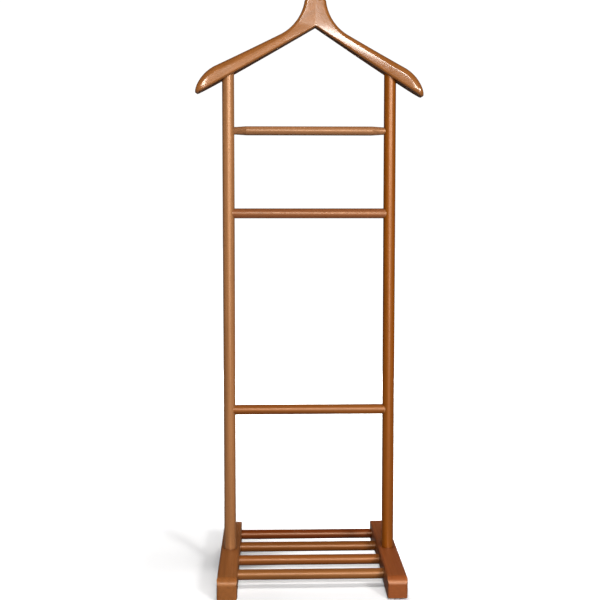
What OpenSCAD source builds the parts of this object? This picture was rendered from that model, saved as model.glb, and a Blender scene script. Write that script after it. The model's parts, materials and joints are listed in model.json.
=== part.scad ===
// Clothes valet stand: a bowed two-piece coat hanger on two round posts, with an oval trouser bar,
// two rungs between the posts, and a shoe rack of four rungs between two arched feet.
// Millimetres, +Z up, the front faces -Y. The origin is on the floor, midway between the posts.

/* [Overall] */
// Height from the floor to the top of the crown
valet_h = 1150; // [1060:5:1250]
// Distance between the axes of the two posts
post_gap = 322; // [300:2:340]
// Diameter of each post
post_d = 24; // [22:1:28]
// Length of each foot, front to back
foot_l = 340; // [310:5:400]

/* [Hanger] */
// Width of the hanger, tip to tip
hanger_w = 450; // [430:2:480]
// Distance of the crown and its glue joint to the right of the middle
crown_shift = 12.5; // [-15:0.5:15]
// Width of the crown at its top
crown_w = 41; // [38:1:50]
// Height of the crown above the peak of the underside
crown_h = 54; // [50:1:66]
// Drop of the underside from its peak to the posts' axes
arm_fall = 100; // [88:1:110]
// Thickness of the arm at the shoulder, square to its underside
arm_t = 30; // [29:1:36]
// Angle at which the arm thins towards the crown
arm_taper = 3.3; // [2:0.1:4]
// Depth of the crown, front to back
crown_deep = 30; // [26:1:36]
// Depth of the arm at the shoulder, front to back
arm_deep = 42; // [38:1:50]
// How far the arms bow: the crown stands this far behind the posts
arm_bow = 14; // [6:1:20]
// Radius of the hollow where the crown flares into the arm
flare_r = 90; // [75:1:96]
// Length of the rounding at the shoulder's end
tip_l = 58; // [50:1:64]
// Angle over which the shoulder's end follows a quarter ellipse: less is more pointed
tip_sweep = 62; // [50:1:80]
// Rounding of the arm's upper edges at the shoulder
arm_round = 13; // [8:1:15]
// Rounding of the crown's edges
crown_round = 7; // [4:1:9]
// Easing of the arm's lower edges
under_round = 4; // [2:0.5:5]
// Chamfer round the top of the crown
crown_ease = 3; // [1.5:0.5:4]
// Diameter of the two dowels across the glue joint
dowel_d = 8; // [6:1:10]
// Length of those dowels
dowel_l = 30; // [24:1:32]
// Distance between the two dowels
dowel_gap = 24; // [18:1:26]

/* [Bars] */
// Distance from the top of the crown down to the trouser bar's axis
trouser_drop = 260; // [240:1:300]
// Distance from the top of the crown down to the upper rung's axis
upper_drop = 424; // [380:2:480]
// Height of the lower rung's axis above the floor
lower_rung_z = 329; // [240:2:400]
// Diameter of the upper and the lower rung
rung_d = 20; // [17:1:21]
// Height of the oval trouser bar
trouser_t = 17; // [16:0.5:20]
// Depth of the oval trouser bar, front to back
trouser_deep = 32; // [26:1:38]
// Diameter of the trouser bar's round ends
trouser_end_d = 15; // [12:0.5:16]
// Length over which each end tapers from oval to round
trouser_taper_l = 24; // [18:1:32]
// Diameter of the tenons on the rungs
tenon_d = 14; // [10:0.5:15]
// Depth to which bars and rungs enter the posts
post_mortise = 16; // [12:0.5:18]

/* [Feet and shoe rack] */
// Width of each foot
foot_w = 38; // [34:1:50]
// Height of each foot without its glides
foot_h = 40; // [38:1:50]
// Radius of the foot's front end, seen from the side
foot_front_r = 15; // [8:1:18]
// Radius of the foot's back end, seen from the side
foot_back_r = 5; // [4:0.5:18]
// Rounding of the foot's upper long edges and upright corners
foot_round = 4; // [2:0.5:5]
// Chamfer along the foot's lower long edges
foot_chamfer = 1.5; // [1:0.5:3]
// Rise of the arch under each foot
arch_h = 10; // [6:0.5:11]
// Length of the pad that each end of a foot stands on
pad_l = 52; // [44:1:70]
// Diameter of the shoe rack's rungs
shoe_rung_d = 20; // [18:1:21]
// Height of the shoe rungs' undersides above the arch
shoe_rung_lift = 1; // [0.5:0.5:2]
// Distance of the front shoe rung from the front ends of the feet
shoe_rung_front = 73; // [66:1:80]
// Distance of the back shoe rung from the back ends of the feet
shoe_rung_back = 33; // [30:1:44]
// Depth to which the shoe rungs enter the feet
foot_mortise = 12; // [9:0.5:12]
// Depth to which the posts enter the feet
post_seat = 12; // [8:0.5:12]

/* [Fastenings] */
// Radial clearance of a tenon, dowel or post in its hole
fit_gap = 0.05; // [0.02:0.01:0.1]
// Clearance between the end of a tenon and the bottom of its hole
end_gap = 0.5; // [0.2:0.1:1]
// Diameter of the bolt that holds a foot to its post
bolt_d = 6; // [5:0.5:6]
// Length of that bolt below its head
bolt_l = 25; // [23:1:27]
// Diameter of the bolt's domed head
bolt_head_d = 11; // [10:0.5:12]
// Height of the bolt's domed head
bolt_head_h = 3.3; // [2.5:0.1:3.6]
// Width across the flats of its hexagon socket
bolt_key = 4; // [3:0.5:4]
// Diameter of the washer under the bolt's head
washer_d = 13; // [12.5:0.5:14]
// Thickness of that washer
washer_t = 1.5; // [1:0.1:2]
// Depth of the recess for washer and head, from the top of the arch
bolt_recess = 7; // [6:0.5:8]
// Outer diameter of the threaded insert in the post's lower end
insert_d = 9; // [8.5:0.5:10]
// Length of the insert
insert_l = 15; // [13:1:18]
// Diameter of the screw through the arm, at its shank
screw_d = 5; // [4:0.5:5]
// Diameter of the screw's threaded part at its core
screw_core_d = 4; // [3:0.5:4]
// Diameter of the screw's countersunk head
screw_head_d = 9.5; // [8.5:0.5:9.5]
// Depth to which the screw enters the post
screw_grip = 40; // [25:1:50]
// Thickness of wood between the post's top and the screw's head
screw_roof = 6; // [5:0.5:7]
// Diameter of the plug over the screw
plug_d = 10; // [10:0.5:12]
// Depth of the plug's hole, measured on its axis down to the top of the screw
plug_l = 6; // [5:0.5:7]
// Diameter of each glide
glide_d = 20; // [16:1:24]
// Thickness of each glide
glide_h = 3; // [2.5:0.5:5]
// Distance of the glides from the ends of the foot
glide_in = 24; // [18:1:30]
// Diameter of the nail that holds a glide
nail_d = 2.5; // [2:0.1:3]
// Length of the nail in the wood
nail_l = 13; // [10:1:15]
// Diameter of the nail's head
nail_head_d = 7; // [6:0.5:8]
// Thickness of the nail's head
nail_head_t = 1; // [0.8:0.1:1]

/* [Hidden] */
$fn = 96;

LEFT = -1;
RIGHT = 1;
FRONT = -1;
BACK = 1;

CROWN_WOOD = [0.83, 0.60, 0.42];
ARM_WOOD = [0.80, 0.56, 0.37];
POST_WOOD = [0.76, 0.49, 0.27];
RUNG_WOOD = [0.74, 0.45, 0.26];
FOOT_WOOD = [0.53, 0.29, 0.13];
DOWEL_WOOD = [0.85, 0.72, 0.50];
STEEL = [0.70, 0.71, 0.73];
BRASS = [0.78, 0.65, 0.34];
NYLON = [0.30, 0.26, 0.22];

ease = 1;            // chamfer on the ends of rods and tenons
past = 1;            // how far a cutter runs past the face that it cuts
arch_facets = 720;
fine_facets = 48;

post_x = post_gap / 2;
apex_z = valet_h - crown_h;
seat_z = apex_z - arm_fall;
trouser_z = valet_h - trouser_drop;
upper_rung_z = valet_h - upper_drop;
foot_top_z = glide_h + foot_h;
arch_z = glide_h + arch_h;
post_foot_z = foot_top_z - post_seat;
shoe_rung_z = arch_z + shoe_rung_lift + shoe_rung_d / 2;
last_shoe_rung = 3;  // the shoe rungs are counted from the front, from number 0
glide_y = foot_l / 2 - glide_in;
bolt_seat_z = arch_z + bolt_recess;

function blend(from, to, share) = from + (to - from) * min(1, max(0, share));

// ---- the hanger's outline, seen from the front --------------------------------------------------
// side is LEFT or RIGHT. u runs outwards from the glue joint. Along an arm, v runs down its
// underside from the peak and t stands square to the underside.

function post_u(side) = post_x - side * crown_shift;
function tip_u(side) = hanger_w / 2 - side * crown_shift;
function fall(side) = atan(arm_fall / post_u(side));
function down_arm(side) = [cos(fall(side)), -sin(fall(side))];
function off_arm(side) = [sin(fall(side)), cos(fall(side))];
function arm_point(side, v, t) = [0, apex_z] + v * down_arm(side) + t * off_arm(side);

// The shoulder's end follows a quarter ellipse part of the way, down to a blunt nose. It starts where
// its outermost point meets the tip.
nose_t = 4;
function end_point(a) =
    [tip_l * sin(a) / sin(tip_sweep),
        blend(nose_t, arm_t, (cos(a) - cos(tip_sweep)) / (1 - cos(tip_sweep)))];
function outermost(side) =
    min(tip_sweep, atan(tip_l * tan(tip_sweep / 2) / ((arm_t - nose_t) * tan(fall(side)))));
function shoulder_v(side) =
    (tip_u(side) - end_point(outermost(side)) * [cos(fall(side)), sin(fall(side))]) / cos(fall(side));
function thickness(side, v) = arm_t - (shoulder_v(side) - v) * tan(arm_taper);
function top_angle(side) = fall(side) - arm_taper;

// The flare is an arc that touches the crown's upright side and the arm's top line
function flare_u() = crown_w / 2 + flare_r;
function flare_z(side) =
    let (on_top = arm_point(side, 0, thickness(side, 0)),
         off_top = [sin(top_angle(side)), cos(top_angle(side))])
    (on_top * off_top + flare_r - flare_u() * off_top.x) / off_top.y;
function flare_start(side) = 180 + asin(max(0, flare_z(side) - (valet_h - crown_ease)) / flare_r);
function flare_end(side) = 270 - top_angle(side);
function flare_point(side, share) =
    let (a = blend(flare_start(side), flare_end(side), share))
    [flare_u() + flare_r * cos(a), flare_z(side) + flare_r * sin(a)];

// Height of the arm's top line straight above a post
function arm_top_z(side) =
    let (slope = tan(arm_taper),
         t = (thickness(side, 0) + slope * post_u(side) / cos(fall(side)))
             / (1 + slope * tan(fall(side))),
         v = (post_u(side) - t * sin(fall(side))) / cos(fall(side)))
    apex_z - v * sin(fall(side)) + t * cos(fall(side));

head_h = (screw_head_d - screw_d) / 2;
screw_head_z = min(arm_top_z(LEFT), arm_top_z(RIGHT)) - plug_l;
screw_seat_z = screw_head_z - head_h;
post_top_z = screw_seat_z - screw_roof;

// ---- the hanger's solid: sections across the arm, laid one after another -------------------------
// A section is [inner point, outer point, half depth, outer rounding, inner rounding]. The points
// are [u, z]. The sections turn from level in the crown to square across the arm.

flare_steps = 20;
turn_step = flare_steps / 2;    // at this step the inner point has reached the underside
arm_steps = 14;
tip_steps = 14;
joint_over = 6;      // the blank runs past the glue joint by this much and is cut flat there
outer_arc = 8;
inner_arc = 4;
nose_deep = 18;      // depth of the shoulder's blunt nose

function spread(u) = (u - crown_w / 2) / (post_x - crown_w / 2);
function section(inner, outer, trim = 0) =
    let (share = spread((inner.x + outer.x) / 2))
    [inner, outer, blend(crown_deep, arm_deep, share) / 2 - trim,
        blend(crown_round, arm_round, share), under_round];

function crown_sections(side) =
    let (side_u = flare_point(side, 0).x)
    [section([-joint_over, valet_h], [side_u - crown_ease, valet_h], crown_ease),
     section([-joint_over, valet_h - crown_ease], [side_u, valet_h - crown_ease])];

function flare_sections(side) =
    let (start_v = -joint_over / cos(fall(side)),
         corner = arm_point(side, start_v, 0),
         end_v = (flare_point(side, 1) - [0, apex_z]) * down_arm(side))
    [for (i = [1 : flare_steps])
        section(
            i <= turn_step
                ? [-joint_over, blend(valet_h - crown_ease, corner.y, i / turn_step)]
                : arm_point(side, blend(start_v, end_v, (i - turn_step) / (flare_steps - turn_step)), 0),
            flare_point(side, i / flare_steps))];

function arm_sections(side) =
    let (start_v = (flare_point(side, 1) - [0, apex_z]) * down_arm(side))
    [for (i = [1 : arm_steps])
        let (v = blend(start_v, shoulder_v(side), i / arm_steps))
        section(arm_point(side, v, 0), arm_point(side, v, thickness(side, v)))];

function tip_sections(side) =
    [for (i = [1 : tip_steps])
        let (share = i / tip_steps,
             v = shoulder_v(side),
             end = end_point(tip_sweep * share),
             inner = arm_point(side, v + (tip_l - nose_t / 2) * share, 0),
             outer = arm_point(side, v + end.x, end.y),
             half = blend(nose_deep, arm_deep, sqrt(1 - pow(share, 4))) / 2,
             tall = norm(outer - inner))
        [inner, outer, half, min(arm_round, 0.8 * half, 0.6 * tall), min(under_round, 0.35 * tall)]];

function arc_points(centre, r, from, steps) =
    [for (i = [0 : steps]) centre + r * [cos(from + 90 * i / steps), sin(from + 90 * i / steps)]];

// A section's rounded outline in its own plane: x from the inner to the outer point, y to the back
function outline(s) =
    let (tall = norm(s[1] - s[0]), half = s[2], ro = s[3], ri = s[4])
    concat(
        arc_points([tall - ro, half - ro], ro, 0, outer_arc),
        arc_points([ri, half - ri], ri, 90, inner_arc),
        arc_points([ri, ri - half], ri, 180, inner_arc),
        arc_points([tall - ro, ro - half], ro, 270, outer_arc));

// The arms bow in plan: level with the posts at the posts, behind them at the crown
function bow(x) = arm_bow * (1 - pow(x / post_x, 2));

function ring(side, s) =
    let (out = (s[1] - s[0]) / norm(s[1] - s[0]))
    [for (p = outline(s))
        let (at = s[0] + p.x * out)
        [at.x, bow(crown_shift + side * at.x) + p.y, at.y]];

function wall(rings, count) =
    [for (k = [0 : rings - 2], j = [0 : count - 1], upper = [0, 1])
        let (a = k * count + j, b = k * count + (j + 1) % count)
        upper == 0 ? [a, b, b + count] : [a, b + count, a + count]];

module hanger_blank(side) {
    sections = concat(crown_sections(side), flare_sections(side), arm_sections(side), tip_sections(side));
    rings = [for (s = sections) ring(side, s)];
    count = len(rings[0]);
    last = (len(rings) - 1) * count;
    faces = concat(
        [[for (j = [count - 1 : -1 : 0]) j]],
        wall(len(rings), count),
        [[for (j = [0 : count - 1]) last + j]]);
    translate([crown_shift, 0, 0])
        mirror([side == LEFT ? 1 : 0, 0, 0])
            polyhedron([for (r = rings, p = r) p], faces, convexity = 6);
}

// ---- small shapes used more than once ------------------------------------------------------------

// A rod that stands on the origin, with its ends eased
module rod(d, l, edge = ease) {
    rotate_extrude()
        polygon([[0, 0], [d / 2 - edge, 0], [d / 2, edge], [d / 2, l - edge], [d / 2 - edge, l], [0, l]]);
}

// Lays what stands along +Z along +X, with its middle over the origin
module across(l) {
    translate([-l / 2, 0, 0]) rotate([0, 90, 0]) children();
}

module at_posts() {
    for (side = [LEFT, RIGHT]) translate([side * post_x, 0, 0]) children();
}

module at_glides() {
    for (side = [LEFT, RIGHT], end = [FRONT, BACK])
        translate([side * post_x, end * glide_y, 0]) children();
}

module rounded_rectangle(w, h, r) {
    translate([-w / 2, -h / 2 + r]) square([w, h - 2 * r]);
    translate([-w / 2 + r, -h / 2]) square([w - 2 * r, h]);
    for (x = [-1, 1], y = [-1, 1])
        translate([x * (w / 2 - r), y * (h / 2 - r)]) circle(r, $fn = fine_facets);
}

// ---- hanger --------------------------------------------------------------------------------------

module dowel_places() {
    for (end = [-1, 1])
        translate([crown_shift, bow(crown_shift), apex_z + crown_h / 2 + end * dowel_gap / 2]) children();
}

module hanger_half(side) {
    other_half = hanger_w;
    joint_x = side == LEFT ? crown_shift : crown_shift - other_half;
    difference() {
        hanger_blank(side);
        // The glue joint
        translate([joint_x, -other_half / 2, seat_z - other_half])
            cube([other_half, other_half, 2 * other_half]);
        dowel_places()
            across(dowel_l + 2 * end_gap) cylinder(d = dowel_d + 2 * fit_gap, h = dowel_l + 2 * end_gap);
        // The post's socket, the screw's hole and countersink, and the plug's hole
        translate([side * post_x, 0, 0]) {
            translate([0, 0, seat_z - arm_fall])
                cylinder(d = post_d + 2 * fit_gap, h = post_top_z + fit_gap - seat_z + arm_fall);
            translate([0, 0, post_top_z]) cylinder(d = screw_d + 2 * fit_gap, h = screw_roof + past);
            translate([0, 0, screw_seat_z])
                cylinder(d1 = screw_d + 2 * fit_gap, d2 = screw_head_d + 2 * fit_gap, h = head_h);
            translate([0, 0, screw_head_z]) cylinder(d = plug_d + 2 * fit_gap, h = arm_t);
        }
    }
}

module left_hanger_half() {
    color(ARM_WOOD) hanger_half(LEFT);
}

module right_hanger_half() {
    color(CROWN_WOOD) hanger_half(RIGHT);
}

module crown_dowels() {
    color(DOWEL_WOOD) dowel_places() across(dowel_l) rod(dowel_d, dowel_l);
}

module hanger_screws() {
    low_z = post_top_z - screw_grip;
    color(STEEL) at_posts() difference() {
        rotate_extrude()
            polygon([
                [0, low_z], [ease / 2, low_z], [screw_core_d / 2, low_z + screw_core_d],
                [screw_core_d / 2, post_top_z], [screw_d / 2, post_top_z], [screw_d / 2, screw_seat_z],
                [screw_head_d / 2, screw_head_z], [0, screw_head_z]]);
        // Square drive
        translate([0, 0, screw_head_z]) cube([screw_d / 2, screw_d / 2, head_h + past], center = true);
    }
}

module screw_plugs() {
    color(DOWEL_WOOD) for (side = [LEFT, RIGHT])
        intersection() {
            hanger_blank(side);
            translate([side * post_x, 0, screw_head_z]) cylinder(d = plug_d, h = arm_t);
        }
}

// ---- posts and the bars between them -------------------------------------------------------------

module mortise(z, d) {
    depth = post_mortise + end_gap;
    translate([post_d / 2 - depth, 0, z])
        rotate([0, 90, 0]) cylinder(d = d + 2 * fit_gap, h = depth + past);
}

// A post, with its mortises open towards +X
module post() {
    difference() {
        translate([0, 0, post_foot_z]) rod(post_d, post_top_z - post_foot_z);
        mortise(trouser_z, trouser_end_d);
        mortise(upper_rung_z, tenon_d);
        mortise(lower_rung_z, tenon_d);
        translate([0, 0, post_foot_z - past])
            cylinder(d = insert_d + 2 * fit_gap, h = insert_l + past + end_gap);
        translate([0, 0, post_foot_z - past])
            cylinder(d = bolt_d + 2 * fit_gap, h = bolt_l + past);
        translate([0, 0, post_top_z - screw_grip - end_gap])
            cylinder(d = screw_core_d + 2 * fit_gap, h = screw_grip + end_gap + past);
    }
}

module left_post() {
    color(POST_WOOD) translate([-post_x, 0, 0]) post();
}

module right_post() {
    color(POST_WOOD) translate([post_x, 0, 0]) mirror([1, 0, 0]) post();
}

bar_l = post_gap - post_d + 2 * post_mortise;
post_inner_x = post_x - post_d / 2;

// A rung whose shoulders are cut hollow to sit against the round posts
module post_rung(z) {
    translate([0, 0, z]) {
        difference() {
            across(post_gap) cylinder(d = rung_d, h = post_gap);
            at_posts() cylinder(d = post_d + 2 * fit_gap, h = 2 * rung_d, center = true);
        }
        across(bar_l) rod(tenon_d, bar_l);
    }
}

module upper_rung() {
    color(RUNG_WOOD) post_rung(upper_rung_z);
}

module lower_rung() {
    color(RUNG_WOOD) post_rung(lower_rung_z);
}

// The oval is a flat between two half rounds
module trouser_oval() {
    for (y = [-1, 1]) translate([0, y * (trouser_deep - trouser_t) / 2]) circle(d = trouser_t);
    square([trouser_t, trouser_deep - trouser_t], center = true);
}

module trouser_bar() {
    oval_l = 2 * (post_inner_x - trouser_taper_l);
    slice = 0.5;
    color(RUNG_WOOD) translate([0, 0, trouser_z]) {
        across(oval_l) linear_extrude(oval_l) trouser_oval();
        across(bar_l) rod(trouser_end_d, bar_l);
        for (side = [LEFT, RIGHT]) hull() {
            translate([side * (oval_l - slice) / 2, 0, 0])
                across(slice) linear_extrude(slice) trouser_oval($fn = fine_facets);
            translate([side * (post_inner_x - slice), 0, 0])
                across(slice) cylinder(d = trouser_end_d, h = slice, $fn = fine_facets);
        }
    }
}

// ---- feet and shoe rack --------------------------------------------------------------------------

// One end of the foot from the side, x to its end and y up
module foot_end_side(end_r) {
    translate([-past, glide_h]) square([foot_l / 2 + past, foot_h - end_r]);
    translate([-past, glide_h]) square([foot_l / 2 - end_r + past, foot_h]);
    translate([foot_l / 2 - end_r, foot_top_z - end_r]) circle(end_r);
}

// The foot from the side, x to the back and y up
module foot_side() {
    arch_l = foot_l - 2 * pad_l;
    arch_r = (arch_l * arch_l / 4 + arch_h * arch_h) / (2 * arch_h);
    difference() {
        union() {
            mirror([1, 0]) foot_end_side(foot_front_r);
            foot_end_side(foot_back_r);
        }
        translate([0, arch_z - arch_r]) circle(arch_r, $fn = arch_facets);
    }
}

// The foot from its end: rounded along the top, chamfered along the bottom
module foot_end() {
    flat = foot_w / 2 - foot_chamfer;
    polygon([
        [-flat, glide_h], [flat, glide_h], [foot_w / 2, glide_h + foot_chamfer],
        [foot_w / 2, foot_top_z - foot_round], [-foot_w / 2, foot_top_z - foot_round],
        [-foot_w / 2, glide_h + foot_chamfer]]);
    translate([-foot_w / 2 + foot_round, foot_top_z - 2 * foot_round])
        square([foot_w - 2 * foot_round, 2 * foot_round]);
    for (x = [-1, 1])
        translate([x * (foot_w / 2 - foot_round), foot_top_z - foot_round])
            circle(foot_round, $fn = fine_facets);
}

module foot_blank() {
    intersection() {
        translate([-foot_w / 2, 0, 0]) rotate([90, 0, 90]) linear_extrude(foot_w) foot_side();
        translate([0, foot_l / 2, 0]) rotate([90, 0, 0]) linear_extrude(foot_l) foot_end();
        translate([0, 0, glide_h]) linear_extrude(foot_h) rounded_rectangle(foot_w, foot_l, foot_round);
    }
}

function shoe_rung_y(i) =
    blend(shoe_rung_front - foot_l / 2, foot_l / 2 - shoe_rung_back, i / last_shoe_rung);

// A foot, with the shoe rungs' mortises open towards +X
module foot() {
    depth = foot_mortise + end_gap;
    difference() {
        foot_blank();
        for (i = [0 : last_shoe_rung])
            translate([foot_w / 2 - depth, shoe_rung_y(i), shoe_rung_z])
                rotate([0, 90, 0]) cylinder(d = tenon_d + 2 * fit_gap, h = depth + past);
        translate([0, 0, post_foot_z]) cylinder(d = post_d + 2 * fit_gap, h = post_seat + past);
        cylinder(d = bolt_d + 2 * end_gap, h = foot_top_z);
        cylinder(d = washer_d + 2 * end_gap, h = bolt_seat_z);
        for (end = [FRONT, BACK])
            translate([0, end * glide_y, 0])
                cylinder(d = nail_d + 2 * fit_gap, h = glide_h + nail_l + end_gap, $fn = fine_facets);
    }
}

module left_foot() {
    color(FOOT_WOOD) translate([-post_x, 0, 0]) foot();
}

module right_foot() {
    color(FOOT_WOOD) translate([post_x, 0, 0]) mirror([1, 0, 0]) foot();
}

module shoe_rung(i) {
    span = post_gap - foot_w;
    whole_l = span + 2 * foot_mortise;
    color(RUNG_WOOD) translate([0, shoe_rung_y(i), shoe_rung_z]) {
        across(span) cylinder(d = shoe_rung_d, h = span);
        across(whole_l) rod(tenon_d, whole_l);
    }
}

// ---- fastenings of the feet ----------------------------------------------------------------------

module post_bolts() {
    head_low_z = bolt_seat_z - washer_t - bolt_head_h;
    rim_h = bolt_head_h / 3;
    dome_r = (pow(bolt_head_d / 2, 2) + pow(bolt_head_h - rim_h, 2)) / (2 * (bolt_head_h - rim_h));
    color(STEEL) at_posts() difference() {
        union() {
            translate([0, 0, bolt_seat_z - washer_t]) cylinder(d = bolt_d, h = bolt_l - ease);
            translate([0, 0, bolt_seat_z - washer_t + bolt_l - ease])
                cylinder(d1 = bolt_d, d2 = bolt_d - 2 * ease, h = ease);
            intersection() {
                translate([0, 0, head_low_z]) cylinder(d = bolt_head_d, h = bolt_head_h);
                translate([0, 0, head_low_z + dome_r]) sphere(dome_r);
            }
        }
        translate([0, 0, head_low_z - past])
            cylinder(d = bolt_key / cos(30), h = past + bolt_head_h * 2 / 3, $fn = 6);
    }
}

module bolt_washers() {
    color(STEEL) at_posts() translate([0, 0, bolt_seat_z - washer_t]) difference() {
        cylinder(d = washer_d, h = washer_t);
        translate([0, 0, -past]) cylinder(d = bolt_d + end_gap, h = washer_t + 2 * past);
    }
}

module post_inserts() {
    color(BRASS) at_posts() translate([0, 0, post_foot_z]) difference() {
        rod(insert_d, insert_l, ease / 2);
        translate([0, 0, -past]) cylinder(d = bolt_d + 2 * fit_gap, h = insert_l + 2 * past);
    }
}

module nail() {
    translate([0, 0, glide_h - nail_head_t]) cylinder(d = nail_head_d, h = nail_head_t, $fn = fine_facets);
    translate([0, 0, glide_h]) cylinder(d = nail_d, h = nail_l - nail_d, $fn = fine_facets);
    translate([0, 0, glide_h + nail_l - nail_d])
        cylinder(d1 = nail_d, d2 = nail_d / 4, h = nail_d, $fn = fine_facets);
}

module foot_glides() {
    color(NYLON) at_glides() difference() {
        rotate_extrude()
            polygon([
                [0, 0], [glide_d / 2 - ease, 0], [glide_d / 2, ease],
                [glide_d / 2, glide_h], [0, glide_h]]);
        translate([0, 0, glide_h - nail_head_t])
            cylinder(d = nail_head_d + 2 * fit_gap, h = nail_head_t + past, $fn = fine_facets);
    }
}

module glide_nails() {
    color(STEEL) at_glides() nail();
}

left_hanger_half();
right_hanger_half();
crown_dowels();
hanger_screws();
screw_plugs();
left_post();
right_post();
trouser_bar();
upper_rung();
lower_rung();
left_foot();
right_foot();
shoe_rung(0);  // shoe_rung_1
shoe_rung(1);  // shoe_rung_2
shoe_rung(2);  // shoe_rung_3
shoe_rung(3);  // shoe_rung_4
post_bolts();
bolt_washers();
post_inserts();
foot_glides();
glide_nails();
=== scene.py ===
"""Looks of a wooden clothes valet stand, laid out as a Blender add-on and run as a script.

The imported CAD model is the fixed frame: its pieces keep their shape and place, and get the finish
of lacquered beech, zinc-plated steel, brass and nylon. The lofted hanger, its plugs and the oval
trouser bar are copied, merged and shaded smooth. Metres, +Z up, the front faces -Y, and the origin
is on the floor, midway between the posts.
"""

import json
from math import pi, radians

import bpy
from bpy.props import FloatProperty, FloatVectorProperty, PointerProperty
from bpy.types import Operator, Panel, PropertyGroup
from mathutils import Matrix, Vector


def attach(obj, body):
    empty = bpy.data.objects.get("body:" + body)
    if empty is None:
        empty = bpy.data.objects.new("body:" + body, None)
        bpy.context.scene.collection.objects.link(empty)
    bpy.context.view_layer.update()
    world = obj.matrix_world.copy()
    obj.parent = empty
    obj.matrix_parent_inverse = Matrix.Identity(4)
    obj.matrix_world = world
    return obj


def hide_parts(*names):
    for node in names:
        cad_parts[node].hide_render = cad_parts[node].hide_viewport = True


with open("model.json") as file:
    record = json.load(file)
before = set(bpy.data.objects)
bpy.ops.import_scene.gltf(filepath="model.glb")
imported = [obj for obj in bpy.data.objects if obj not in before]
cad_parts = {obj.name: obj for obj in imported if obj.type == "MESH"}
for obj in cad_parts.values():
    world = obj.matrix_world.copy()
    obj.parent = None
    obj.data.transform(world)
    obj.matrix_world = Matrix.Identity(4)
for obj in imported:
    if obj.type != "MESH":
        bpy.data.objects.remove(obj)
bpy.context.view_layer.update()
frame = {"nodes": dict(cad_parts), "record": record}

bl_info = {
    "name": "Clothes Valet Stand",
    "version": (1, 0, 0),
    "blender": (4, 5, 0),
    "location": "3D View > Sidebar > Valet",
    "description": "Finishes a wooden clothes valet stand, and sets up a pale studio round it",
    "category": "Object",
}


# ---- boards --------------------------------------------------------------------------------------

# Which way the grain runs, as the turn that lays it along the pattern's own X
UPRIGHT = (0.0, pi / 2, 0.0)
ACROSS = (0.0, 0.0, 0.0)
FRONT_TO_BACK = (0.0, 0.0, -pi / 2)
DOWN_LEFT_ARM = (0.0, radians(30.0), 0.0)
DOWN_RIGHT_ARM = (0.0, radians(-34.0), 0.0)

# Each board: its tone beside its colour in the settings, as a factor for red, green and blue, which
# holds the board's own tone and also painted light and shade, such as the darker rear shoe rung;
# its grain;
# and how far the stand's origin lies from its tree's pith, along the pattern's own axes
BOARDS = {
    "left arm": ((0.54, 0.42, 0.24), DOWN_LEFT_ARM, (0.3, 0.045, -0.05)),
    "right arm": ((0.50, 0.38, 0.20), DOWN_RIGHT_ARM, (-0.2, -0.06, -0.07)),
    "arm plugs": ((0.52, 0.40, 0.22), UPRIGHT, (0.0, 0.02, 0.01)),
    "crown dowels": ((1.0, 1.0, 1.0), ACROSS, (0.0, 0.03, -1.0)),
    "left post": ((0.60, 0.60, 0.64), UPRIGHT, (0.0, 0.05, 0.1)),
    "right post": ((0.44, 0.26, 0.02), UPRIGHT, (0.4, -0.03, -0.12)),
    "trouser bar": ((0.51, 0.54, 0.57), ACROSS, (0.1, 0.04, -0.85)),
    "upper rung": ((0.42, 0.33, 0.29), ACROSS, (0.5, -0.03, -0.69)),
    "lower rung": ((0.44, 0.31, 0.12), ACROSS, (0.9, 0.05, -0.3)),
    "left foot": ((0.89, 0.94, 0.76), FRONT_TO_BACK, (0.0, -0.21, 0.05)),
    "right foot": ((0.87, 0.70, 0.57), FRONT_TO_BACK, (0.6, 0.1, 0.06)),
    "shoe rung 1": ((0.43, 0.37, 0.23), ACROSS, (0.37, -0.02, 0.03)),
    "shoe rung 2": ((0.43, 0.30, 0.13), ACROSS, (0.74, -0.08, 0.03)),
    "shoe rung 3": ((0.40, 0.28, 0.10), ACROSS, (1.11, -0.14, 0.03)),
    "shoe rung 4": ((0.30, 0.13, 0.03), ACROSS, (1.48, -0.2, 0.03)),
}
SHOE_RUNGS = 4

# How thin the stain is rubbed along the edges, from 0 to 1
RUBBED = 0.35
RUBBED_FEET = 0.3

# The lacquer lies thick on the hanger, where it fills the fibres, and thin on the frame
WOOD_IOR = 1.5
HANGER_FINISH = {"Specular IOR Level": 0.4, "Coat Weight": 1.0, "Coat IOR": 1.5}
FRAME_FINISH = {"Specular IOR Level": 0.75, "Coat Weight": 0.5, "Coat IOR": 1.35}

# The relief of a surface: its strength, and its depth in metres
HANGER_RELIEF = (0.05, 0.0001)
FRAME_RELIEF = (0.35, 0.0001)
FITTING_RELIEF = (0.2, 0.00005)

# Points closer than this are one point of a copied mesh, and edges up to these angles are smooth
MERGE_DISTANCE = 1e-6
HANGER_SMOOTHING = radians(35)
BAR_SMOOTHING = radians(32)


# ---- figure and wear -----------------------------------------------------------------------------

# Steps of each pattern in a metre: along the grain, and across it both ways
WANDER_STEPS = (3.5, 38.0, 38.0)
STREAK_STEPS = (5.0, 160.0, 160.0)
FIBRE_STEPS = (24.0, 1500.0, 1500.0)
RAY_STEPS = (300.0, 1500.0, 1500.0)
PATCH_STEPS = (90.0, 90.0, 90.0)

# How far a growth ring wanders, in metres, and how much of the colour its late wood takes
WANDER_DEPTH = 0.006
LATE_SHARE = 0.55

# How much a ray fleck darkens the wood, roughens it, and sinks it beside the fibres
FLECK_DARKNESS = 0.5
FLECK_ROUGHNESS = 0.08
FLECK_HOLLOW = 0.7

# What the colour is multiplied by where surfaces close in, as at the joints: painted shade
JOINT_SHADE = (0.25, 0.15, 0.08, 1.0)

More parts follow.
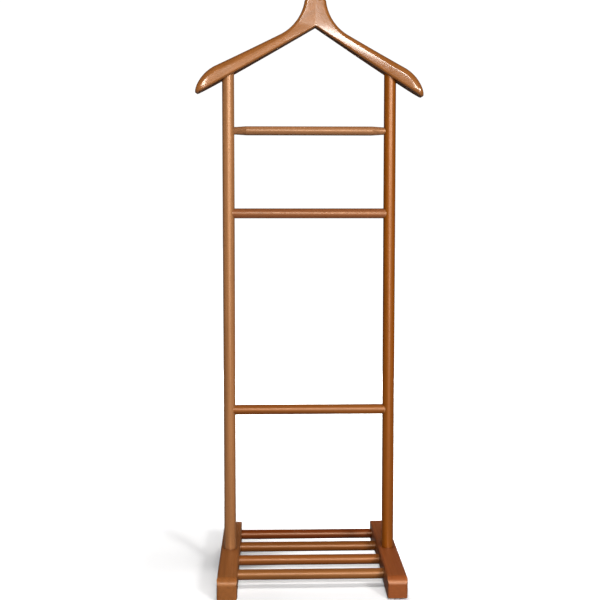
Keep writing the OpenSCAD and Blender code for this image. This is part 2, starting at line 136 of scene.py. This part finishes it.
# Each effect: the span of the value that it starts from, and the span that it eases it to. A noise
# mostly stays between 0.3 and 0.7.
LATE_WOOD_GROWS = ((0.35, 0.92), (0.0, 1.0))
LATE_WOOD_ENDS = ((0.92, 1.0), (1.0, 0.0))
RING_DEPTH = ((0.0, 1.0), (0.25, 0.9))
STREAK_SHARE = ((0.3, 0.72), (0.0, 0.45))
FIBRE_SHARE = ((0.35, 0.75), (-0.08, 0.22))
FIBRE_ROUGHNESS = ((0.3, 0.7), (-0.05, 0.07))
FIBRE_HEIGHT = ((0.2, 0.8), (0.0, 1.0))
FLECK_RIM = ((0.18, 0.42), (1.0, 0.0))
FLECK_CELLS = ((0.5, 0.7), (0.0, 1.0))
EDGE_RUBBED = ((0.8, 0.995), (1.0, 0.0))
EDGE_PATCHES = ((0.35, 0.62), (0.0, 1.0))
JOINT_SHUT = ((0.35, 0.95), (1.0, 0.0))
WEAR_DARKNESS = ((0.3, 0.7), (0.0, 0.35))
WEAR_ROUGHNESS = ((0.3, 0.7), (-0.06, 0.12))


# ---- studio --------------------------------------------------------------------------------------

WHITE = (1.0, 1.0, 1.0, 1.0)
BLACK = (0.0, 0.0, 0.0, 1.0)
SENSOR_WIDTH = 36.0

# Each softbox: its place, the height on the stand that it faces, its size, and whether it glints on
# what it lights or only fills in
SOFTBOXES = {
    "front": ((0.1, -2.3, 1.15), 0.7, (0.5, 0.5), True),
    "right": ((1.2, -2.1, 1.35), 0.85, (0.4, 0.4), True),
    "high": ((-0.22, -2.2, 1.6), 1.0, (0.26, 0.3), True),
    "arm": ((0.57, -2.2, 1.38), 1.0, (0.2, 0.2), True),
    "low": ((0.5, -2.2, 0.4), 0.4, (0.3, 0.3), True),
    "top": ((0.0, -0.2, 5.0), 0.0, (0.8, 0.5), False),
    "back": ((0.2, 2.4, 0.8), 0.65, (1.0, 0.8), False),
    "left": ((-2.3, 0.3, 0.9), 0.6, (0.8, 0.8), False),
}

# The floor's glow is held back round two points, in front of the stand and to its left, which
# paints a shadow at each. The distance from them is stretched along each axis, and the floor's own
# glow grows with it.
FLOOR_SIZE = 30.0
PAINTED_SHADOW_IN_FRONT = {"centre": (0.0, -0.23, 0.0), "stretch": (0.4, 1.8, 1.0)}
PAINTED_SHADOW_AT_LEFT = {"centre": (-0.26, 0.04, 0.0), "stretch": (2.2, 1.2, 1.0)}
GLOW_GROWS = ((0.14, 0.85), (0.0, 1.0))
FULL_GLOW = (1.1, 1.1, 1.1, 1.0)
BACKDROP_STRENGTH = 1.05

# The share of its colour that the floor throws back at the stand
FLOOR_BOUNCE = 0.2


# ---- settings ------------------------------------------------------------------------------------


def record_colour(slot):
    """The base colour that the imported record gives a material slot."""
    return next(m["base_color"] for m in frame["record"]["materials"] if m["slot"] == slot)


def colour_setting(name, description, default):
    """A setting that holds a colour."""
    return FloatVectorProperty(
        name=name, description=description, subtype="COLOR", size=3, min=0.0, max=1.0,
        default=default)


def share_setting(name, description, default, lowest=0.0):
    """A setting that holds a share, up to 1."""
    return FloatProperty(
        name=name, description=description, subtype="FACTOR", min=lowest, max=1.0,
        default=default)


def strength_setting(name, description, default):
    """A setting that holds the strength of a glow."""
    return FloatProperty(name=name, description=description, min=0.0, max=2.0, default=default)


def power_setting(name, description, default):
    """A setting that holds the power of a softbox."""
    return FloatProperty(
        name=name, description=description, unit="POWER", min=0.0, default=default)


class WoodSettings(PropertyGroup):
    """Colours and figure of the beech."""

    hanger: colour_setting("Hanger", "Early wood of the hanger", record_colour("hanger_wood"))
    post: colour_setting("Posts", "Early wood of the posts", record_colour("post_wood"))
    rung: colour_setting("Rungs", "Early wood of the bars and rungs", record_colour("rung_wood"))
    foot: colour_setting("Feet", "Early wood of the feet", record_colour("foot_wood"))
    bare: colour_setting(
        "Bare beech", "Colour of the dowels, and of the edges where the stain is rubbed thin",
        record_colour("joint_wood"))
    late_share: share_setting(
        "Late wood", "Brightness of the late wood beside the early wood", 0.62, lowest=0.2)
    ring_spacing: FloatProperty(
        name="Ring spacing", description="Distance from one growth ring to the next",
        subtype="DISTANCE", unit="LENGTH", min=0.001, max=0.01, default=0.0032)
    roughness: share_setting("Roughness", "Roughness of the wood under its lacquer", 0.42)
    sheen_colour: colour_setting(
        "Stain's sheen", "Tint of the soft sheen that the stained wood gives under its lacquer",
        (1.0, 0.62, 0.36))
    lacquer_colour: colour_setting(
        "Lacquer", "Colour that the stained lacquer lets through", (0.66, 0.56, 0.46))
    lacquer_roughness: share_setting(
        "Lacquer roughness", "How satin the lacquer of the frame is", 0.28)
    hanger_roughness: share_setting(
        "Hanger lacquer roughness", "How satin the lacquer of the hanger is", 0.16)


class FittingSettings(PropertyGroup):
    """Colours of the bolts, screws, inserts, nails and glides."""

    steel: colour_setting(
        "Steel", "Zinc-plated bolts, washers, screws and nails", record_colour("fastener_steel"))
    brass: colour_setting("Brass", "Threaded inserts", record_colour("insert_brass"))
    nylon: colour_setting("Nylon", "Glides under the feet", record_colour("glide_nylon"))


class StageSettings(PropertyGroup):
    """The camera, the lights and the floor."""

    camera_place: FloatVectorProperty(
        name="Camera", description="Where the camera stands", subtype="XYZ", unit="LENGTH",
        default=(-0.0778, -1.9677, 0.7424))
    camera_dip: FloatProperty(
        name="Dip", description="How far the camera looks down", subtype="ANGLE",
        unit="ROTATION", default=radians(3.78))
    camera_turn: FloatProperty(
        name="Turn", description="How far the camera looks to the right", subtype="ANGLE",
        unit="ROTATION", default=radians(1.73))
    lens: FloatProperty(
        name="Lens", description="Focal length on a 36 mm sensor", subtype="DISTANCE_CAMERA",
        unit="CAMERA", default=58.86)
    shift: FloatProperty(
        name="Vertical shift", description="Vertical shift of the lens, as a share of the picture",
        default=-0.05)
    floor: colour_setting("Floor", "Colour of the floor", (0.69, 0.755, 0.86))
    # The glow that is left inside the painted shadows on the floor
    floor_glow: strength_setting(
        "Floor glow", "How bright the floor stays where the stand shades it", 0.04)
    surround: strength_setting("Surround", "Strength of the light from all around", 0.04)
    light_colour: colour_setting(
        "Light colour", "Colour of every softbox but the high one", (1.0, 0.9, 0.78))
    high_colour: colour_setting(
        "High light colour", "Colour of the high softbox", (1.0, 0.98, 0.94))
    front_power: power_setting("Front light", "Power of the softbox above the camera", 30.0)
    right_power: power_setting("Right light", "Power of the softbox at the front right", 52.0)
    high_power: power_setting(
        "High light", "Power of the small softbox that glints on the hanger", 11.0)
    arm_power: power_setting(
        "Arm light", "Power of the small softbox that glows on the hanger's left arm", 0.25)
    low_power: power_setting("Low light", "Power of the small softbox near the floor", 15.0)
    top_power: power_setting("Top light", "Power of the softbox overhead", 120.0)
    back_power: power_setting("Back light", "Power of the softbox behind the stand", 45.0)
    left_power: power_setting("Left light", "Power of the softbox to the stand's left", 18.0)


# ---- shader nodes --------------------------------------------------------------------------------

# Where new nodes are laid out in the node editor
NODE_COLUMNS = 8
NODE_WIDTH = 220
NODE_HEIGHT = 260

# The Mix node gives sockets of several kinds one name, so its colour sockets go by number
MIX_SHARE, MIX_FIRST, MIX_SECOND, MIX_RESULT = 0, 6, 7, 2


def add_node(tree, kind, values=None, **settings):
    """Adds a node. An input whose value is a socket is linked, and any other input is set."""
    node = tree.nodes.new(kind)
    row, column = divmod(len(tree.nodes), NODE_COLUMNS)
    node.location = (NODE_WIDTH * column, -NODE_HEIGHT * row)
    for name, value in settings.items():
        setattr(node, name, value)
    for name, value in (values or {}).items():
        if isinstance(value, bpy.types.NodeSocket):
            tree.links.new(value, node.inputs[name])
        else:
            node.inputs[name].default_value = value
    return node


def object_place(tree):
    """Where a point lies on the stand, in metres."""
    return add_node(tree, "ShaderNodeTexCoord").outputs["Object"]


def maths(tree, operation, *values):
    """Adds a Math node and returns its result."""
    node = add_node(tree, "ShaderNodeMath", dict(enumerate(values)), operation=operation)
    return node.outputs["Value"]


def product(tree, first, *others):
    """Multiplies values with each other."""
    for other in others:
        first = maths(tree, "MULTIPLY", first, other)
    return first


def total(tree, first, *others):
    """Adds values up."""
    for other in others:
        first = maths(tree, "ADD", first, other)
    return first


def vector_maths(tree, operation, *values):
    """Adds a Vector Math node and returns its result, a number for a length or a dot product."""
    node = add_node(tree, "ShaderNodeVectorMath", dict(enumerate(values)), operation=operation)
    return node.outputs["Value" if operation in ("LENGTH", "DOT_PRODUCT") else "Vector"]


def eased(tree, value, effect):
    """Takes a value from one span to another along a soft curve, and holds it past the ends."""
    (low, high), (to_low, to_high) = effect
    node = add_node(
        tree, "ShaderNodeMapRange",
        {"Value": value, "From Min": low, "From Max": high, "To Min": to_low, "To Max": to_high},
        interpolation_type="SMOOTHSTEP")
    return node.outputs["Result"]


def noise(tree, vector, scale=1.0, detail=2.0, roughness=0.5):
    """Adds a noise and returns its value."""
    node = add_node(
        tree, "ShaderNodeTexNoise",
        {"Vector": vector, "Scale": scale, "Detail": detail, "Roughness": roughness})
    return node.outputs["Fac"]


def mixed(tree, share, first, second, blend_type="MIX"):
    """Mixes two colours."""
    node = add_node(
        tree, "ShaderNodeMix", {MIX_SHARE: share, MIX_FIRST: first, MIX_SECOND: second},
        data_type="RGBA", blend_type=blend_type)
    return node.outputs[MIX_RESULT]


def new_group(name, inputs, outputs):
    """Makes a shader node group. Inputs are (name, kind, default) and outputs are (name, kind)."""
    group = bpy.data.node_groups.new(name, "ShaderNodeTree")
    for label, kind, default in inputs:
        socket = group.interface.new_socket(
            label, in_out="INPUT", socket_type="NodeSocket" + kind)
        if default is not None:
            socket.default_value = default
    for label, kind in outputs:
        group.interface.new_socket(label, in_out="OUTPUT", socket_type="NodeSocket" + kind)
    return group, group.nodes.new("NodeGroupInput").outputs


def close_group(group, results):
    """Links a group's results to its outputs."""
    add_node(group, "NodeGroupOutput", results)


def add_group(tree, name, maker, values):
    """Adds a shared group with its own values. The first material that uses it makes it."""
    shared = bpy.data.node_groups.get(name) or maker()
    return add_node(tree, "ShaderNodeGroup", values, node_tree=shared)


def make_beech_group():
    """Straight-grained beech: growth rings round a far pith, streaks, fibres, and the short dark
    ray flecks. The grain runs along X, in metres."""
    group, given = new_group(
        "Beech",
        [("Vector", "Vector", None), ("Early Wood", "Color", None), ("Late Wood", "Color", None),
         ("Ring Spacing", "Float", 0.003), ("Roughness", "Float", 0.4)],
        [("Color", "Color"), ("Roughness", "Float"), ("Height", "Float")])
    place = given["Vector"]

    def stretched(steps):
        return vector_maths(group, "MULTIPLY", place, steps)

    # Growth rings, which wander slowly along the grain. The late wood comes in slowly and ends
    # sharply where the next ring begins, and each ring is darker or paler than the next.
    from_pith = vector_maths(group, "LENGTH", stretched((0.0, 1.0, 1.0)))
    wander = product(group, noise(group, stretched(WANDER_STEPS)), WANDER_DEPTH)
    rings = maths(group, "DIVIDE", total(group, from_pith, wander), given["Ring Spacing"])
    in_ring = maths(group, "FRACT", rings)
    ring_depth = add_node(
        group, "ShaderNodeTexWhiteNoise", {"W": maths(group, "FLOOR", rings)},
        noise_dimensions="1D")
    late = product(
        group,
        eased(group, in_ring, LATE_WOOD_GROWS),
        eased(group, in_ring, LATE_WOOD_ENDS),
        eased(group, ring_depth.outputs["Value"], RING_DEPTH))

    # Broad streaks, fine fibres and ray flecks
    streaks = noise(group, stretched(STREAK_STEPS), detail=3.0)
    fibres = noise(group, stretched(FIBRE_STEPS), detail=3.0, roughness=0.6)
    cells = add_node(
        group, "ShaderNodeTexVoronoi", {"Vector": stretched(RAY_STEPS), "Scale": 1.0})
    chosen = add_node(group, "ShaderNodeSeparateColor", {"Color": cells.outputs["Color"]})
    fleck = product(
        group,
        eased(group, cells.outputs["Distance"], FLECK_RIM),
        eased(group, chosen.outputs["Red"], FLECK_CELLS))

    share = total(
        group,
        product(group, late, LATE_SHARE),
        eased(group, streaks, STREAK_SHARE),
        eased(group, fibres, FIBRE_SHARE))
    figure = mixed(group, share, given["Early Wood"], given["Late Wood"])
    colour = mixed(
        group, product(group, fleck, FLECK_DARKNESS), figure, given["Late Wood"], "MULTIPLY")
    roughness = total(
        group,
        given["Roughness"],
        eased(group, fibres, FIBRE_ROUGHNESS),
        product(group, fleck, FLECK_ROUGHNESS))
    height = maths(
        group, "SUBTRACT", eased(group, fibres, FIBRE_HEIGHT), product(group, fleck, FLECK_HOLLOW))
    close_group(group, {"Color": colour, "Roughness": roughness, "Height": height})
    return group


def make_edge_group():
    """Stain that is rubbed thin, in patches, along the eased edges."""
    group, given = new_group(
        "Rubbed Edges",
        [("Color", "Color", None), ("Rubbed", "Color", None), ("Radius", "Float", 0.002),
         ("Amount", "Float", 0.5)],
        [("Color", "Color")])
    rounded = add_node(group, "ShaderNodeBevel", {"Radius": given["Radius"]}, samples=4)
    surface = add_node(group, "ShaderNodeNewGeometry")
    flatness = vector_maths(
        group, "DOT_PRODUCT", rounded.outputs["Normal"], surface.outputs["Normal"])
    patches = noise(
        group, vector_maths(group, "MULTIPLY", object_place(group), PATCH_STEPS), detail=4.0)
    mask = product(
        group,
        eased(group, flatness, EDGE_RUBBED),
        eased(group, patches, EDGE_PATCHES),
        given["Amount"])
    close_group(group, {"Color": mixed(group, mask, given["Color"], given["Rubbed"])})
    return group


def make_joint_shade_group():
    """Painted shade: darkens the colour where surfaces close in on each other, as where two pieces
    meet.
    """
    group, given = new_group(
        "Joint Stain",
        [("Color", "Color", None), ("Reach", "Float", 0.006), ("Depth", "Float", 0.6)],
        [("Color", "Color")])
    openness = add_node(
        group, "ShaderNodeAmbientOcclusion", {"Distance": given["Reach"]}, samples=6)
    shut = product(group, eased(group, openness.outputs["AO"], JOINT_SHUT), given["Depth"])
    close_group(group, {"Color": mixed(group, shut, given["Color"], JOINT_SHADE, "MULTIPLY")})
    return group


def make_wear_group():
    """Fine wear on metal and nylon, which dulls and darkens the surface in small patches."""
    group, given = new_group(
        "Handled Surface",
        [("Vector", "Vector", None), ("Color", "Color", None), ("Roughness", "Float", 0.3),
         ("Scale", "Float", 400.0)],
        [("Color", "Color"), ("Roughness", "Float"), ("Height", "Float")])
    patches = noise(group, given["Vector"], given["Scale"], detail=5.0, roughness=0.65)
    darkness = eased(group, patches, WEAR_DARKNESS)
    roughness = total(group, given["Roughness"], eased(group, patches, WEAR_ROUGHNESS))
    close_group(group, {
        "Color": mixed(group, darkness, given["Color"], given["Color"], "MULTIPLY"),
        "Roughness": roughness,
        "Height": patches})
    return group


# ---- materials -----------------------------------------------------------------------------------


def new_material(name):
    """A material and its tree, which is still empty."""
    material = bpy.data.materials.new(name)
    material.use_nodes = True
    material.node_tree.nodes.clear()
    return material, material.node_tree


def add_surface(tree, values):
    """Adds a material's shader, with its values, and its output."""
    shader = add_node(tree, "ShaderNodeBsdfPrincipled", values)
    add_node(tree, "ShaderNodeOutputMaterial", {"Surface": shader.outputs["BSDF"]})


def relief(tree, height, strength, depth):
    """The normal of a surface that a height makes uneven."""
    bump = add_node(
        tree, "ShaderNodeBump", {"Height": height, "Strength": strength, "Distance": depth})
    return bump.outputs["Normal"]


def opaque(colour, brightness=1.0):
    """A colour with its alpha."""
    return (*(brightness * c for c in colour), 1.0)


def wood_material(name, colour, rubbed=RUBBED, on_hanger=False):
    """Stained and lacquered beech, for the board of that name."""
    settings = bpy.context.scene.valet_wood
    tone_and_shade, grain, from_pith = BOARDS[name]
    # The tone multiplies in painted light and shade as well as the board's own tone
    early_wood = [c * t for c, t in zip(colour, tone_and_shade)]
    material, tree = new_material(name)
    along_grain = add_node(tree, "ShaderNodeMapping", {
        "Vector": object_place(tree), "Rotation": grain, "Location": from_pith})
    beech = add_group(tree, "Beech", make_beech_group, {
        "Vector": along_grain.outputs["Vector"],
        "Early Wood": opaque(early_wood),
        "Late Wood": opaque(early_wood, settings.late_share),
        "Ring Spacing": settings.ring_spacing,
        "Roughness": settings.roughness})
    edges = add_group(tree, "Rubbed Edges", make_edge_group, {
        "Color": beech.outputs["Color"], "Rubbed": opaque(settings.bare), "Amount": rubbed})
    # Painted shade where surfaces close in, as at the joints
    joint_shade = add_group(tree, "Joint Stain", make_joint_shade_group, {"Color": edges.outputs["Color"]})
    if on_hanger:
        finish, unevenness, satin = HANGER_FINISH, HANGER_RELIEF, settings.hanger_roughness
    else:
        finish, unevenness, satin = FRAME_FINISH, FRAME_RELIEF, settings.lacquer_roughness
    add_surface(tree, {
        "Base Color": joint_shade.outputs["Color"],
        "Roughness": beech.outputs["Roughness"],
        "Normal": relief(tree, beech.outputs["Height"], *unevenness),
        "IOR": WOOD_IOR,
        "Specular Tint": opaque(settings.sheen_colour),
        "Coat Tint": opaque(settings.lacquer_colour),
        "Coat Roughness": satin,
        **finish})
    return material


def fitting_material(name, colour, roughness, metallic):
    """Plated steel, brass or nylon."""
    material, tree = new_material(name)
    worn = add_group(tree, "Handled Surface", make_wear_group, {
        "Vector": object_place(tree), "Color": opaque(colour), "Roughness": roughness})
    add_surface(tree, {
        "Base Color": worn.outputs["Color"],
        "Roughness": worn.outputs["Roughness"],
        "Normal": relief(tree, worn.outputs["Height"], *FITTING_RELIEF),
        "Metallic": metallic})
    return material


# ---- pieces --------------------------------------------------------------------------------------


def dress(piece, material):
    """Gives a piece one material all over."""
    for slot in piece.material_slots:
        slot.material = material
    if not piece.material_slots:
        piece.data.materials.append(material)


def dress_node(node_name, material):
    """Gives a CAD node, whose shape stays, one material all over."""
    dress(frame["nodes"][node_name], material)


def select_only(piece):
    """Selects one piece and makes it the active one."""
    bpy.ops.object.select_all(action="DESELECT")
    piece.select_set(True)
    bpy.context.view_layer.objects.active = piece


def smooth_copy(node_name, piece_name, angle):
    """A merged copy of a CAD node, shaded smooth up to an angle, which stands for the node."""
    piece = bpy.data.objects.new(piece_name, frame["nodes"][node_name].data.copy())
    bpy.context.scene.collection.objects.link(piece)
    select_only(piece)
    bpy.ops.object.mode_set(mode="EDIT")
    bpy.ops.mesh.select_all(action="SELECT")
    bpy.ops.mesh.customdata_custom_splitnormals_clear()
    bpy.ops.mesh.remove_doubles(threshold=MERGE_DISTANCE)
    bpy.ops.object.mode_set(mode="OBJECT")
    bpy.ops.object.shade_smooth_by_angle(angle=angle)
    weighted = piece.modifiers.new("Even Shading", "WEIGHTED_NORMAL")
    weighted.keep_sharp = True
    bpy.ops.object.modifier_apply(modifier=weighted.name)
    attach(piece, "root")
    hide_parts(node_name)
    return piece


class VALET_OT_hanger(Operator):
    """Make the two halves of the hanger and the plugs over its screws"""

    bl_idname = "valet.hanger"
    bl_label = "Hanger"

    def execute(self, context):
        wood = context.scene.valet_wood
        for side in ("left", "right"):
            half = smooth_copy(
                f"{side}_hanger_half", f"{side}_arm", HANGER_SMOOTHING)
            dress(half, wood_material(f"{side} arm", wood.hanger, on_hanger=True))
        plugs = smooth_copy("screw_plugs", "arm_plugs", HANGER_SMOOTHING)
        dress(plugs, wood_material("arm plugs", wood.hanger, on_hanger=True))
        dress_node("crown_dowels", wood_material("crown dowels", wood.bare))
        return {"FINISHED"}


class VALET_OT_posts(Operator):
    """Finish the two posts"""

    bl_idname = "valet.posts"
    bl_label = "Posts"

    def execute(self, context):
        wood = context.scene.valet_wood
        for side in ("left", "right"):
            dress_node(f"{side}_post", wood_material(f"{side} post", wood.post))
        return {"FINISHED"}


class VALET_OT_bars(Operator):
    """Make the oval trouser bar and finish the two rungs below it"""

    bl_idname = "valet.bars"
    bl_label = "Trouser bar and rungs"

    def execute(self, context):
        wood = context.scene.valet_wood
        bar = smooth_copy("trouser_bar", "oval_bar", BAR_SMOOTHING)
        dress(bar, wood_material("trouser bar", wood.rung))
        for place in ("upper", "lower"):
            dress_node(f"{place}_rung", wood_material(f"{place} rung", wood.rung))
        return {"FINISHED"}


class VALET_OT_feet(Operator):
    """Finish the two arched feet"""

    bl_idname = "valet.feet"
    bl_label = "Feet"

    def execute(self, context):
        wood = context.scene.valet_wood
        for side in ("left", "right"):
            dress_node(f"{side}_foot", wood_material(f"{side} foot", wood.foot, RUBBED_FEET))
        return {"FINISHED"}


class VALET_OT_shoe_rack(Operator):
    """Finish the four rungs of the shoe rack"""

    bl_idname = "valet.shoe_rack"
    bl_label = "Shoe rack"

    def execute(self, context):
        wood = context.scene.valet_wood
        for number in range(1, SHOE_RUNGS + 1):
            dress_node(
                f"shoe_rung_{number}", wood_material(f"shoe rung {number}", wood.rung))
        return {"FINISHED"}


class VALET_OT_fastenings(Operator):
    """Finish the bolts, washers, screws, inserts, nails and glides"""

    bl_idname = "valet.fastenings"
    bl_label = "Fastenings and glides"

    def execute(self, context):
        colours = context.scene.valet_fittings
        steel = fitting_material("zinc-plated steel", colours.steel, roughness=0.3, metallic=1.0)
        for name in ("hanger_screws", "post_bolts", "bolt_washers", "glide_nails"):
            dress_node(name, steel)
        brass = fitting_material("brass", colours.brass, roughness=0.28, metallic=1.0)
        dress_node("post_inserts", brass)
        nylon = fitting_material("nylon", colours.nylon, roughness=0.55, metallic=0.0)
        dress_node("foot_glides", nylon)
        return {"FINISHED"}


# ---- stage ---------------------------------------------------------------------------------------


def distance_from(tree, place, centre, stretch):
    """Distance of a place from a centre, stretched along each axis."""
    away = vector_maths(tree, "SUBTRACT", place, centre)
    return vector_maths(tree, "LENGTH", vector_maths(tree, "MULTIPLY", away, stretch))


def make_floor(stage):
    """The pale floor. It glows white away from the stand, for the camera alone, and its glow is
    held back in front of the stand and to its left, which paints shadows there.
    """
    bpy.ops.object.select_all(action="DESELECT")
    bpy.ops.mesh.primitive_plane_add(size=FLOOR_SIZE)
    floor = bpy.context.active_object
    floor.name = "floor"
    material, tree = new_material("pale floor")
    place = object_place(tree)
    # Painted shadows: the glow is held back near two points, in front of the stand and to its left
    distance = maths(
        tree, "MINIMUM",
        distance_from(tree, place, **PAINTED_SHADOW_IN_FRONT), distance_from(tree, place, **PAINTED_SHADOW_AT_LEFT))
    glow = mixed(
        tree, eased(tree, distance, GLOW_GROWS), opaque(WHITE[:3], stage.floor_glow), FULL_GLOW)
    seen = add_node(tree, "ShaderNodeLightPath").outputs["Is Camera Ray"]
    add_surface(tree, {
        "Base Color": mixed(tree, seen, opaque(stage.floor, FLOOR_BOUNCE), opaque(stage.floor)),
        "Roughness": 0.9,
        "Specular IOR Level": 0.0,
        "Emission Color": mixed(tree, seen, BLACK, glow),
        "Emission Strength": 1.0})
    floor.data.materials.append(material)


def make_surround(stage):
    """A white surround for the camera, and a dim one for everything else."""
    world = bpy.data.worlds.new("surround")
    world.use_nodes = True
    tree = world.node_tree
    tree.nodes.clear()
    dim, bright = (
        add_node(tree, "ShaderNodeBackground", {"Color": WHITE, "Strength": strength})
        for strength in (stage.surround, BACKDROP_STRENGTH))
    seen = add_node(tree, "ShaderNodeLightPath").outputs["Is Camera Ray"]
    either = add_node(
        tree, "ShaderNodeMixShader",
        {0: seen, 1: dim.outputs["Background"], 2: bright.outputs["Background"]})
    add_node(tree, "ShaderNodeOutputWorld", {"Surface": either.outputs["Shader"]})
    bpy.context.scene.world = world


def make_camera(stage):
    """The camera, at the photograph's viewing angle."""
    data = bpy.data.cameras.new("camera")
    data.sensor_width = SENSOR_WIDTH
    data.lens = stage.lens
    data.shift_y = stage.shift
    camera = bpy.data.objects.new("camera", data)
    camera.location = stage.camera_place
    camera.rotation_euler = (pi / 2 - stage.camera_dip, 0.0, -stage.camera_turn)
    bpy.context.scene.collection.objects.link(camera)
    bpy.context.scene.camera = camera


def make_softbox(name, place, facing_z, size, glint, power, tint):
    """A rectangular area light that faces a height on the stand's upright axis."""
    data = bpy.data.lights.new(name, "AREA")
    data.shape = "RECTANGLE"
    data.size, data.size_y = size
    data.energy = power
    data.color = tint
    light = bpy.data.objects.new(name, data)
    light.location = place
    ray = Vector((0.0, 0.0, facing_z)) - Vector(place)
    light.rotation_euler = ray.to_track_quat("-Z", "Y").to_euler()
    light.visible_glossy = glint
    bpy.context.scene.collection.objects.link(light)


class VALET_OT_stage(Operator):
    """Set up the pale floor, the soft lights and the camera"""

    bl_idname = "valet.stage"
    bl_label = "Stage"

    def execute(self, context):
        stage = context.scene.valet_stage
        context.scene.view_settings.view_transform = "Standard"
        make_floor(stage)
        make_surround(stage)
        make_camera(stage)
        for name, (place, facing_z, size, glint) in SOFTBOXES.items():
            tint = stage.high_colour if name == "high" else stage.light_colour
            make_softbox(
                f"{name} light", place, facing_z, size, glint, getattr(stage, f"{name}_power"),
                tint)
        return {"FINISHED"}


# ---- add-on --------------------------------------------------------------------------------------


STEPS = (
    VALET_OT_hanger, VALET_OT_posts, VALET_OT_bars, VALET_OT_feet, VALET_OT_shoe_rack,
    VALET_OT_fastenings, VALET_OT_stage)
SETTINGS = {
    "valet_wood": WoodSettings, "valet_fittings": FittingSettings, "valet_stage": StageSettings}


class VALET_PT_pieces(Panel):
    """Lists the pieces of the stand and their settings"""

    bl_idname = "VALET_PT_pieces"
    bl_label = "Clothes Valet Stand"
    bl_space_type = "VIEW_3D"
    bl_region_type = "UI"
    bl_category = "Valet"

    def draw(self, context):
        for step in STEPS:
            self.layout.operator(step.bl_idname)
        for name, settings in SETTINGS.items():
            box = self.layout.box()
            for setting in settings.__annotations__:
                box.prop(getattr(context.scene, name), setting)


CLASSES = (*SETTINGS.values(), *STEPS, VALET_PT_pieces)


def register():
    """Registers the classes, and gives each scene the settings."""
    for cls in CLASSES:
        bpy.utils.register_class(cls)
    for name, settings in SETTINGS.items():
        setattr(bpy.types.Scene, name, PointerProperty(type=settings))


def unregister():
    """Takes back what register did."""
    for name in reversed(SETTINGS):
        delattr(bpy.types.Scene, name)
    for cls in reversed(CLASSES):
        bpy.utils.unregister_class(cls)


def main():
    register()
    for make in (bpy.ops.valet.hanger, bpy.ops.valet.posts, bpy.ops.valet.bars,
                 bpy.ops.valet.feet, bpy.ops.valet.shoe_rack, bpy.ops.valet.fastenings,
                 bpy.ops.valet.stage):
        make()


if __name__ == "__main__":
    main()
